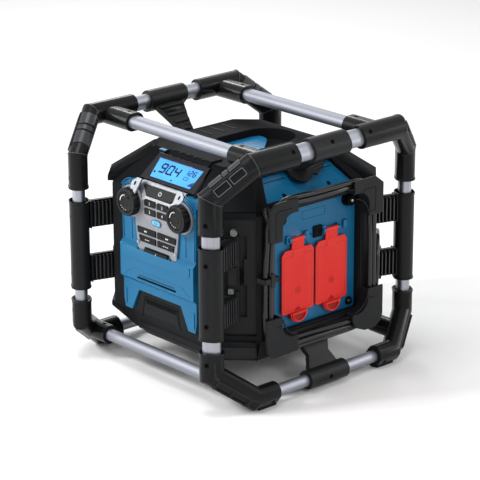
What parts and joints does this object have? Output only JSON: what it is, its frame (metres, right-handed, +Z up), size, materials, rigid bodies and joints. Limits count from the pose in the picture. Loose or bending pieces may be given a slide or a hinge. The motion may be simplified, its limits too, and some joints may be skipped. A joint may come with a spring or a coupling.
{
  "type": "jobsite radio",
  "caption": "Eight-sided jobsite radio in a tubular roll cage, with sloping display, knobs, keypad, flap-covered outlets and a cord wound on corner hooks.",
  "frame": {"origin": "middle of the footprint, on the floor that the bottom joints stand on", "axes": "+Z up, -Y towards the control face, +X towards the socket side"},
  "size_m": [0.4054, 0.4356, 0.3983],
  "materials": {
    "cage_plastic": "satin moulded",
    "tube_aluminium": "brushed satin",
    "screw_steel": "blackened",
    "body_plastic": "fine grain",
    "blue_plastic": "satin",
    "bezel_plastic": "gloss",
    "display_glass": "backlit",
    "silver_plastic": "satin metallic",
    "circuit_board": "resist",
    "socket_plastic": "satin",
    "speaker_plastic": "cone and basket",
    "grille_plastic": "fine grain",
    "cord_rubber": "satin",
    "button_plastic": "satin",
    "knob_plastic": "satin",
    "flap_plastic": "satin"
  },
  "bodies": {
    "body": {"joint_top_front_left": "cage_plastic", "joint_top_front_right": "cage_plastic", "joint_top_rear_left": "cage_plastic", "joint_top_rear_right": "cage_plastic", "joint_bottom_front_left": "cage_plastic", "joint_bottom_front_right": "cage_plastic", "joint_bottom_rear_left": "cage_plastic", "joint_bottom_rear_right": "cage_plastic", "post_front_left": "tube_aluminium", "post_front_right": "tube_aluminium", "post_rear_left": "tube_aluminium", "post_rear_right": "tube_aluminium", "bracket_front_left": "cage_plastic", "bracket_front_right": "cage_plastic", "bracket_rear_left": "cage_plastic", "bracket_rear_right": "cage_plastic", "tubes_top": "tube_aluminium", "tubes_bottom": "tube_aluminium", "straps_top": "cage_plastic", "straps_bottom": "cage_plastic", "cage_screws": "screw_steel", "housing": "body_plastic", "top_cover": "body_plastic", "base_pan": "body_plastic", "front_panel": "blue_plastic", "display_bezel": "bezel_plastic", "display": "display_glass", "keypad_plate": "silver_plastic", "main_board": "circuit_board", "outlet_panel": "blue_plastic", "outlet_sockets": "socket_plastic", "slope_panels": "blue_plastic", "top_tray": "blue_plastic", "cord_frame": "body_plastic", "power_cord": "cord_rubber", "cord_tail": "cord_rubber", "cord_plug": "cord_rubber", "corner_speakers": "speaker_plastic", "speaker_grilles": "grille_plastic", "woofer": "speaker_plastic", "side_panel": "body_plastic", "rear_panel": "body_plastic", "body_screws": "screw_steel", "power_supply": "circuit_board"},
    "power_button": {"power_button": "button_plastic"},
    "preset_1": {"preset_1": "button_plastic"},
    "preset_2": {"preset_2": "button_plastic"},
    "preset_3": {"preset_3": "button_plastic"},
    "preset_4": {"preset_4": "button_plastic"},
    "skip_back": {"skip_back": "button_plastic"},
    "skip_forward": {"skip_forward": "button_plastic"},
    "source_button": {"source_button": "button_plastic"},
    "sound_button": {"sound_button": "button_plastic"},
    "menu_button": {"menu_button": "button_plastic"},
    "volume_knob": {"volume_knob": "knob_plastic"},
    "tuning_knob": {"tuning_knob": "knob_plastic"},
    "flap_left": {"flap_left": "flap_plastic"},
    "flap_right": {"flap_right": "flap_plastic"},
    "media_door": {"media_door": "grille_plastic"},
    "battery_door": {"battery_door": "grille_plastic"}
  },
  "joints": [
    {"name": "volume_knob_turn", "type": "hinge", "parent": "body", "child": "volume_knob", "pos_m": [-0.058, -0.174, 0.276], "axis": [0, -1, 0], "continuous": true},
    {"name": "tuning_knob_turn", "type": "hinge", "parent": "body", "child": "tuning_knob", "pos_m": [0.058, -0.174, 0.276], "axis": [0, -1, 0], "continuous": true},
    {"name": "power_button_press", "type": "slide", "parent": "body", "child": "power_button", "axis": [0, 0.832, -0.5548], "range_m": [0, 0.001], "stiffness_N_per_m": 500, "springref_m": -0.0008},
    {"name": "preset_1_press", "type": "slide", "parent": "body", "child": "preset_1", "axis": [0, 1, 0], "range_m": [0, 0.001], "stiffness_N_per_m": 500, "springref_m": -0.0008},
    {"name": "preset_2_press", "type": "slide", "parent": "body", "child": "preset_2", "axis": [0, 1, 0], "range_m": [0, 0.001], "stiffness_N_per_m": 500, "springref_m": -0.0008},
    {"name": "preset_3_press", "type": "slide", "parent": "body", "child": "preset_3", "axis": [0, 1, 0], "range_m": [0, 0.001], "stiffness_N_per_m": 500, "springref_m": -0.0008},
    {"name": "preset_4_press", "type": "slide", "parent": "body", "child": "preset_4", "axis": [0, 1, 0], "range_m": [0, 0.001], "stiffness_N_per_m": 500, "springref_m": -0.0008},
    {"name": "skip_back_press", "type": "slide", "parent": "body", "child": "skip_back", "axis": [0, 1, 0], "range_m": [0, 0.001], "stiffness_N_per_m": 500, "springref_m": -0.0008},
    {"name": "skip_forward_press", "type": "slide", "parent": "body", "child": "skip_forward", "axis": [0, 1, 0], "range_m": [0, 0.001], "stiffness_N_per_m": 500, "springref_m": -0.0008},
    {"name": "source_button_press", "type": "slide", "parent": "body", "child": "source_button", "axis": [0, 1, 0], "range_m": [0, 0.001], "stiffness_N_per_m": 500, "springref_m": -0.0008},
    {"name": "sound_button_press", "type": "slide", "parent": "body", "child": "sound_button", "axis": [0, 1, 0], "range_m": [0, 0.001], "stiffness_N_per_m": 500, "springref_m": -0.0008},
    {"name": "menu_button_press", "type": "slide", "parent": "body", "child": "menu_button", "axis": [0, 1, 0], "range_m": [0, 0.001], "stiffness_N_per_m": 500, "springref_m": -0.0008},
    {"name": "flap_left_hinge", "type": "hinge", "parent": "body", "child": "flap_left", "pos_m": [0.1609, -0.035, 0.238], "axis": [0, -1, 0], "range_deg": [0, 110], "stiffness_Nm_per_rad": 0.03, "springref_deg": -28.65},
    {"name": "flap_right_hinge", "type": "hinge", "parent": "body", "child": "flap_right", "pos_m": [0.1609, 0.035, 0.238], "axis": [0, -1, 0], "range_deg": [0, 110], "stiffness_Nm_per_rad": 0.03, "springref_deg": -28.65},
    {"name": "media_door_hinge", "type": "hinge", "parent": "body", "child": "media_door", "pos_m": [0.0065, -0.086, 0.3434], "axis": [-1, 0, 0], "range_deg": [0, 22]},
    {"name": "battery_door_hinge", "type": "hinge", "parent": "body", "child": "battery_door", "pos_m": [0, 0.1609, 0.138], "axis": [-1, 0, 0], "range_deg": [0, 95]}
  ]
}
